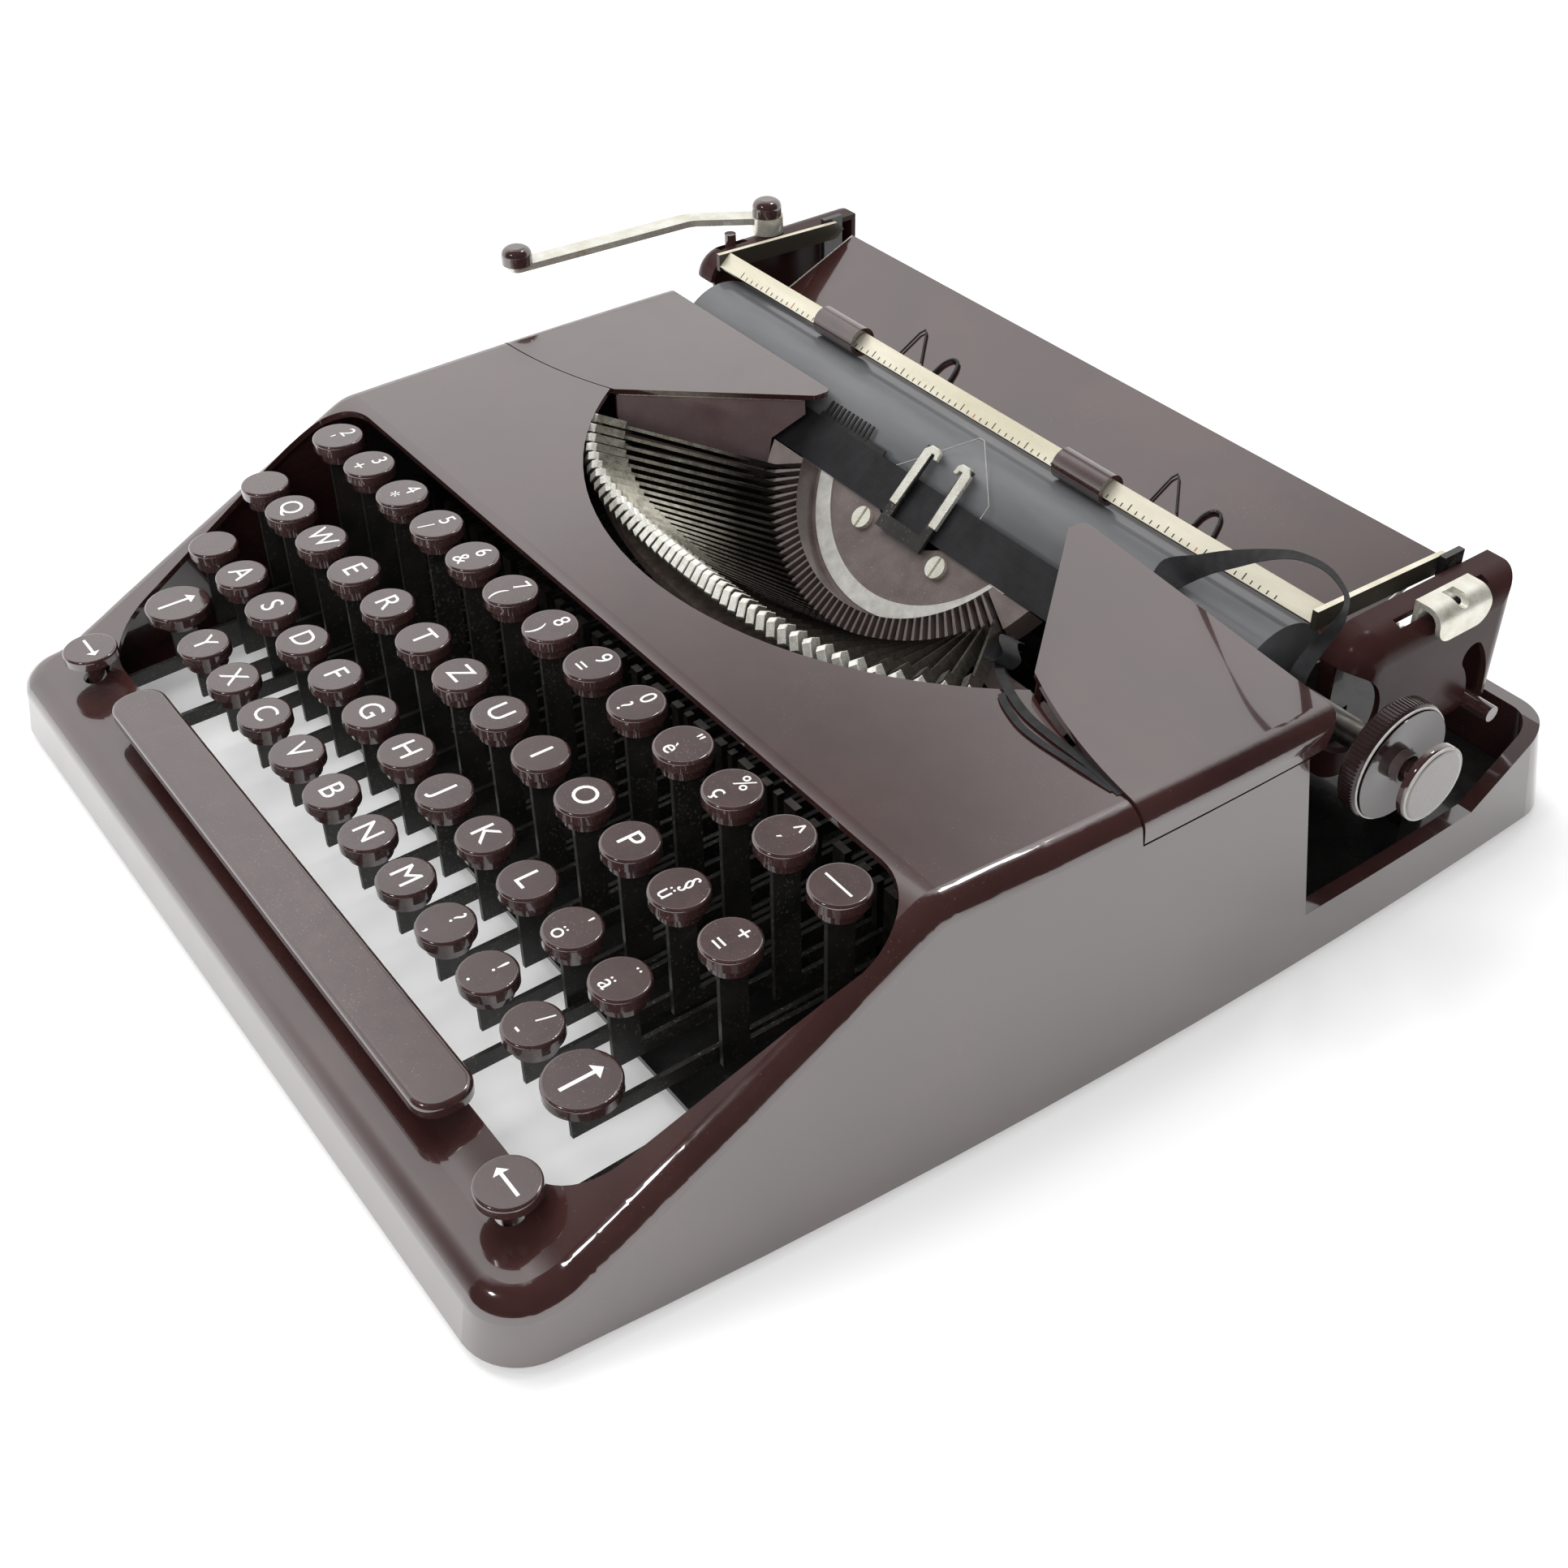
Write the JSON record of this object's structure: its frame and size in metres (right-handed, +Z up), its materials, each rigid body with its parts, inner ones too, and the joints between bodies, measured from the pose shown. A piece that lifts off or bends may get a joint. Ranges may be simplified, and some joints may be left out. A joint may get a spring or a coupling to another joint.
{
  "type": "portable typewriter",
  "caption": "Flat portable typewriter with a pressed body, round keys on flat levers, an open type basket, hinged ribbon covers and a sliding carriage.",
  "frame": {"origin": "middle of the box that the machine stands in, on the floor under the rubber feet", "axes": "+X to the typist's right along the carriage, +Y to the back, +Z up"},
  "size_m": [0.31, 0.303, 0.0919],
  "materials": {
    "body": "gloss",
    "black_steel": "satin",
    "rubber": "matte",
    "nickel": "polished",
    "steel": "satin",
    "felt": "matte",
    "ribbon": "matte",
    "key_plastic": "gloss",
    "platen": "satin",
    "brass": "satin"
  },
  "bodies": {
    "base": {"body_shell": "body", "base_plate": "black_steel", "rubber_feet": "rubber", "slotted_screws": "nickel", "side_frames": "black_steel", "fulcrum_rod": "steel", "key_comb": "steel", "segment": "steel", "segment_band": "nickel", "typebars": "nickel", "typebar_rest": "felt", "ribbon": "ribbon", "carriage_rail": "steel"},
    "cover_left": {"ribbon_cover_left": "body"},
    "cover_right": {"ribbon_cover_right": "body"},
    "spool_left": {"ribbon_spool_left": "black_steel"},
    "spool_right": {"ribbon_spool_right": "black_steel"},
    "vibrator": {"ribbon_vibrator": "nickel"},
    "space": {"space_bar": "key_plastic", "space_bar_arms": "black_steel"},
    "shift": {"shift_keys": "key_plastic", "shift_levers": "black_steel"},
    "row_1": {"key_tops_row_1": "key_plastic", "key_levers_row_1": "black_steel"},
    "row_2": {"key_tops_row_2": "key_plastic", "key_levers_row_2": "black_steel"},
    "row_3": {"key_tops_row_3": "key_plastic", "key_levers_row_3": "black_steel"},
    "row_4": {"key_tops_row_4": "key_plastic", "key_levers_row_4": "black_steel"},
    "backspace": {"backspace_key": "key_plastic", "backspace_lever": "black_steel"},
    "tabulator": {"tabulator_key": "key_plastic", "tabulator_lever": "black_steel"},
    "home": {"home_key": "key_plastic", "home_lever": "black_steel"},
    "home_bar": {"home_typebar": "nickel"},
    "truck": {"carriage_truck": "black_steel"},
    "carriage": {"carriage_beam": "black_steel", "carriage_end_left": "body", "carriage_end_right": "body", "paper_table": "body", "margin_rack": "steel"},
    "platen": {"platen_roller": "platen", "platen_shaft": "steel", "platen_knob": "key_plastic"},
    "button": {"knob_button": "key_plastic"},
    "line_lever": {"return_lever": "nickel", "lever_studs": "key_plastic"},
    "bail": {"paper_bail": "nickel"},
    "rollers": {"bail_rollers": "key_plastic"},
    "paper_release": {"paper_release_lever": "nickel"},
    "carriage_release": {"carriage_release_lever": "nickel"},
    "selector": {"line_space_selector": "nickel"},
    "stop_left": {"margin_stop_left": "black_steel"},
    "stop_right": {"margin_stop_right": "black_steel"},
    "feed_front": {"feed_roller_front": "rubber"},
    "feed_rear": {"feed_roller_rear": "rubber"},
    "drum": {"mainspring_drum": "steel"},
    "wheel": {"escapement_wheel": "brass"}
  },
  "joints": [
    {"name": "cover_left_hinge", "type": "hinge", "parent": "base", "child": "cover_left", "pos_m": [-0.13075, 0.0385, 0.0564], "axis": [0, -1, 0], "range_deg": [0, 75]},
    {"name": "cover_right_hinge", "type": "hinge", "parent": "base", "child": "cover_right", "pos_m": [0.13745, 0.0385, 0.0564], "axis": [0, 1, 0], "range_deg": [-5.5, 70]},
    {"name": "spool_left_spin", "type": "hinge", "parent": "base", "child": "spool_left", "pos_m": [-0.1014, 0.0365, 0.0305], "axis": [0, 0, 1], "continuous": true},
    {"name": "spool_right_spin", "type": "hinge", "parent": "base", "child": "spool_right", "pos_m": [0.1081, 0.0365, 0.0305], "axis": [0, 0, 1], "continuous": true},
    {"name": "vibrator_lift", "type": "slide", "parent": "base", "child": "vibrator", "axis": [0, 0.7071, 0.7071], "range_m": [0, 0.008]},
    {"name": "space_bar_press", "type": "hinge", "parent": "base", "child": "space", "pos_m": [0.00335, 0.0435, 0.0195], "axis": [1, 0, 0], "range_deg": [0, 0.65], "stiffness_Nm_per_rad": 0.8, "springref_deg": -6.88},
    {"name": "shift_press", "type": "hinge", "parent": "base", "child": "shift", "pos_m": [0.00335, 0.0435, 0.0195], "axis": [1, 0, 0], "range_deg": [0, 2.6]},
    {"name": "row_1_press", "type": "hinge", "parent": "base", "child": "row_1", "pos_m": [0.00335, 0.0435, 0.0195], "axis": [1, 0, 0], "range_deg": [0, 5.25], "stiffness_Nm_per_rad": 1, "springref_deg": -8.59},
    {"name": "row_2_press", "type": "hinge", "parent": "base", "child": "row_2", "pos_m": [0.00335, 0.0435, 0.0195], "axis": [1, 0, 0], "range_deg": [0, 4.36], "stiffness_Nm_per_rad": 1, "springref_deg": -8.59},
    {"name": "row_3_press", "type": "hinge", "parent": "base", "child": "row_3", "pos_m": [0.00335, 0.0435, 0.0195], "axis": [1, 0, 0], "range_deg": [0, 3.77], "stiffness_Nm_per_rad": 1, "springref_deg": -8.59},
    {"name": "row_4_press", "type": "hinge", "parent": "base", "child": "row_4", "pos_m": [0.00335, 0.0435, 0.0195], "axis": [1, 0, 0], "range_deg": [0, 3.35], "stiffness_Nm_per_rad": 1, "springref_deg": -8.59},
    {"name": "backspace_press", "type": "hinge", "parent": "base", "child": "backspace", "pos_m": [0.00335, 0.0435, 0.0195], "axis": [1, 0, 0], "range_deg": [0, 0.6], "stiffness_Nm_per_rad": 0.2, "springref_deg": -6.88},
    {"name": "tabulator_press", "type": "hinge", "parent": "base", "child": "tabulator", "pos_m": [0.00335, 0.0435, 0.0195], "axis": [1, 0, 0], "range_deg": [0, 0.6], "stiffness_Nm_per_rad": 0.2, "springref_deg": -6.88},
    {"name": "home_key_press", "type": "hinge", "parent": "base", "child": "home", "pos_m": [0.00335, 0.0435, 0.0195], "axis": [1, 0, 0], "range_deg": [0, 3.77], "stiffness_Nm_per_rad": 0.2, "springref_deg": -8.59},
    {"name": "home_bar_swing", "type": "hinge", "parent": "base", "child": "home_bar", "pos_m": [0.00462, 0.0266, 0.02851], "axis": [-0.9997, -0.0178, -0.0178], "range_deg": [0, 93.5]},
    {"name": "carriage_slide", "type": "slide", "parent": "base", "child": "truck", "axis": [1, 0, 0], "range_m": [-0.095, 0.095]},
    {"name": "carriage_lift", "type": "slide", "parent": "truck", "child": "carriage", "axis": [0, 0.7071, 0.7071], "range_m": [0, 0.0065]},
    {"name": "platen_turn", "type": "hinge", "parent": "carriage", "child": "platen", "pos_m": [-0.00465, 0.077, 0.0495], "axis": [1, 0, 0], "continuous": true},
    {"name": "button_push", "type": "slide", "parent": "platen", "child": "button", "axis": [-1, 0, 0], "range_m": [0, 0.004], "stiffness_N_per_m": 120, "springref_m": -0.008},
    {"name": "line_lever_swing", "type": "hinge", "parent": "carriage", "child": "line_lever", "pos_m": [-0.13325, 0.1055, 0.073], "axis": [0, 0, 1], "range_deg": [0, 25], "stiffness_Nm_per_rad": 0.15, "springref_deg": -11.46},
    {"name": "bail_lift", "type": "hinge", "parent": "carriage", "child": "bail", "pos_m": [-0.00465, 0.1245, 0.0675], "axis": [-1, 0, 0], "range_deg": [0, 70]},
    {"name": "bail_rollers_turn", "type": "hinge", "parent": "bail", "child": "rollers", "pos_m": [-0.00465, 0.0825, 0.069], "axis": [1, 0, 0], "continuous": true},
    {"name": "paper_release_swing", "type": "hinge", "parent": "carriage", "child": "paper_release", "pos_m": [0.12485, 0.1105, 0.042], "axis": [1, 0, 0], "range_deg": [-12, 12]},
    {"name": "carriage_release_swing", "type": "hinge", "parent": "carriage", "child": "carriage_release", "pos_m": [0.12135, 0.1055, 0.0376], "axis": [1, 0, 0], "range_deg": [0, 46], "stiffness_Nm_per_rad": 0.02, "springref_deg": -17.19},
    {"name": "selector_slide", "type": "slide", "parent": "carriage", "child": "selector", "axis": [0, 1, 0], "range_m": [-0.003, 0.003]},
    {"name": "stop_left_slide", "type": "slide", "parent": "carriage", "child": "stop_left", "axis": [1, 0, 0], "range_m": [-0.018, 0.06]},
    {"name": "stop_right_slide", "type": "slide", "parent": "carriage", "child": "stop_right", "axis": [1, 0, 0], "range_m": [-0.06, 0.014]},
    {"name": "feed_front_turn", "type": "hinge", "parent": "carriage", "child": "feed_front", "pos_m": [-0.00465, 0.07013, 0.03061], "axis": [1, 0, 0], "continuous": true},
    {"name": "feed_rear_turn", "type": "hinge", "parent": "carriage", "child": "feed_rear", "pos_m": [-0.00465, 0.08388, 0.03061], "axis": [1, 0, 0], "continuous": true},
    {"name": "drum_turn", "type": "hinge", "parent": "base", "child": "drum", "pos_m": [-0.10865, 0.1325, 0.013], "axis": [0, 0, 1], "range_deg": [-460, 460]},
    {"name": "wheel_turn", "type": "hinge", "parent": "base", "child": "wheel", "pos_m": [0.03735, 0.1305, 0.01], "axis": [0, 0, 1], "range_deg": [-570, 570]}
  ],
  "couplings": [
    {"joint": "spool_right_spin", "follows": "spool_left_spin", "ratio": 1},
    {"joint": "shift_press", "follows": "carriage_lift", "rad_per_m": 6.9786},
    {"joint": "home_bar_swing", "follows": "home_key_press", "ratio": 24.784},
    {"joint": "feed_front_turn", "follows": "platen_turn", "ratio": -3.95},
    {"joint": "feed_rear_turn", "follows": "platen_turn", "ratio": -3.95},
    {"joint": "drum_turn", "follows": "carriage_slide", "rad_per_m": 83.333},
    {"joint": "wheel_turn", "follows": "carriage_slide", "rad_per_m": 103.07}
  ]
}
